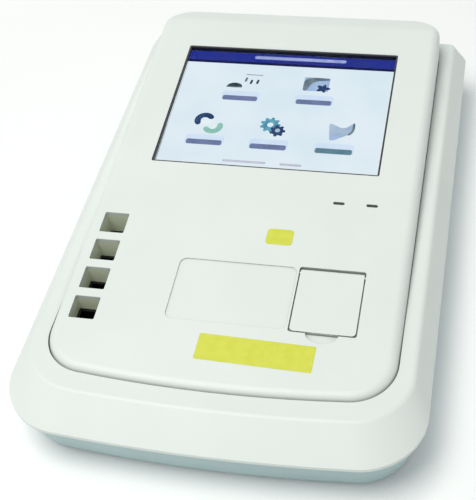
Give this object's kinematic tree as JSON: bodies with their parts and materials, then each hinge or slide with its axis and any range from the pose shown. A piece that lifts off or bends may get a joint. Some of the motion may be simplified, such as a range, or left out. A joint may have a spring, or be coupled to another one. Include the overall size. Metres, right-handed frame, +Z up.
{
  "type": "specific protein analyzer",
  "caption": "Low wedge-shaped desktop blood-protein analyzer with a touch display, warming wells for cuvettes, a card pad, a lidded measuring chamber with stirrer, and rear ports.",
  "frame": {"origin": "on the table, below the middle of the footprint", "axes": "+Z up, +Y from the user to the back, +X to the user's right"},
  "size_m": [0.264, 0.395, 0.0768],
  "materials": {
    "white_plastic": "moulded, finely grained",
    "base_plastic": "moulded, grey green, finely grained",
    "black_plastic": "moulded black",
    "rubber": "matt",
    "steel": "zinc plated",
    "brass": "turned",
    "screen_glass": "polished",
    "clear_plastic": "clear light guide",
    "display": "lit display face",
    "board": "green laminate with solder mask",
    "copper": "printed copper",
    "anodised": "black anodised",
    "foam": "closed-cell foam",
    "heater": "polyimide film",
    "magnet": "nickel plated",
    "ribbon": "flat film cable",
    "glass": "polished lens",
    "lamp": "moulded lamp body"
  },
  "bodies": {
    "instrument": {"base_tray": "base_plastic", "upper_housing": "white_plastic", "top_panel": "white_plastic", "rubber_feet": "rubber", "shell_screws": "steel", "display_bezel": "black_plastic", "touch_glass": "screen_glass", "lcd_module": "display", "display_bracket": "steel", "display_board": "board", "display_board_parts": "black_plastic", "display_screws": "steel", "ribbon_cable": "ribbon", "status_lenses": "clear_plastic", "status_lamps": "lamp", "lamp_board": "board", "reader_board": "board", "reader_coil": "copper", "well_guide": "white_plastic", "incubator_block": "anodised", "heater_pad": "heater", "temperature_sensor": "steel", "reading_block": "anodised", "laser_module": "brass", "beam_lens": "glass", "photodiode": "steel", "detector_board": "board", "block_screws": "steel", "stir_motor": "steel", "hinge_pin": "steel", "main_board": "board", "standoffs": "brass", "board_screws": "steel", "board_parts": "black_plastic", "buzzer": "black_plastic", "clock_battery": "steel", "rear_panel": "black_plastic", "power_jack": "black_plastic", "data_port": "steel", "serial_port": "steel", "switch_body": "black_plastic"},
    "lid": {"chamber_lid": "white_plastic", "lid_liner": "black_plastic", "lid_seal": "foam"},
    "stirrer": {"motor_shaft": "steel", "stir_rotor": "black_plastic", "rotor_magnets": "magnet"},
    "rocker": {"switch_rocker": "black_plastic"}
  },
  "joints": [
    {"name": "lid_hinge", "type": "hinge", "parent": "instrument", "child": "lid", "pos_m": [0.06238, -0.06632, 0.05655], "axis": [-1, 0, 0], "range_deg": [0, 100]},
    {"name": "stirrer_spin", "type": "hinge", "parent": "instrument", "child": "stirrer", "pos_m": [0.06238, -0.08794, 0.019], "axis": [0, 0, 1], "continuous": true},
    {"name": "power_rocker", "type": "hinge", "parent": "instrument", "child": "rocker", "pos_m": [-0.065, 0.1916, 0.02], "axis": [0, 0, 1], "range_deg": [0, 18]}
  ]
}
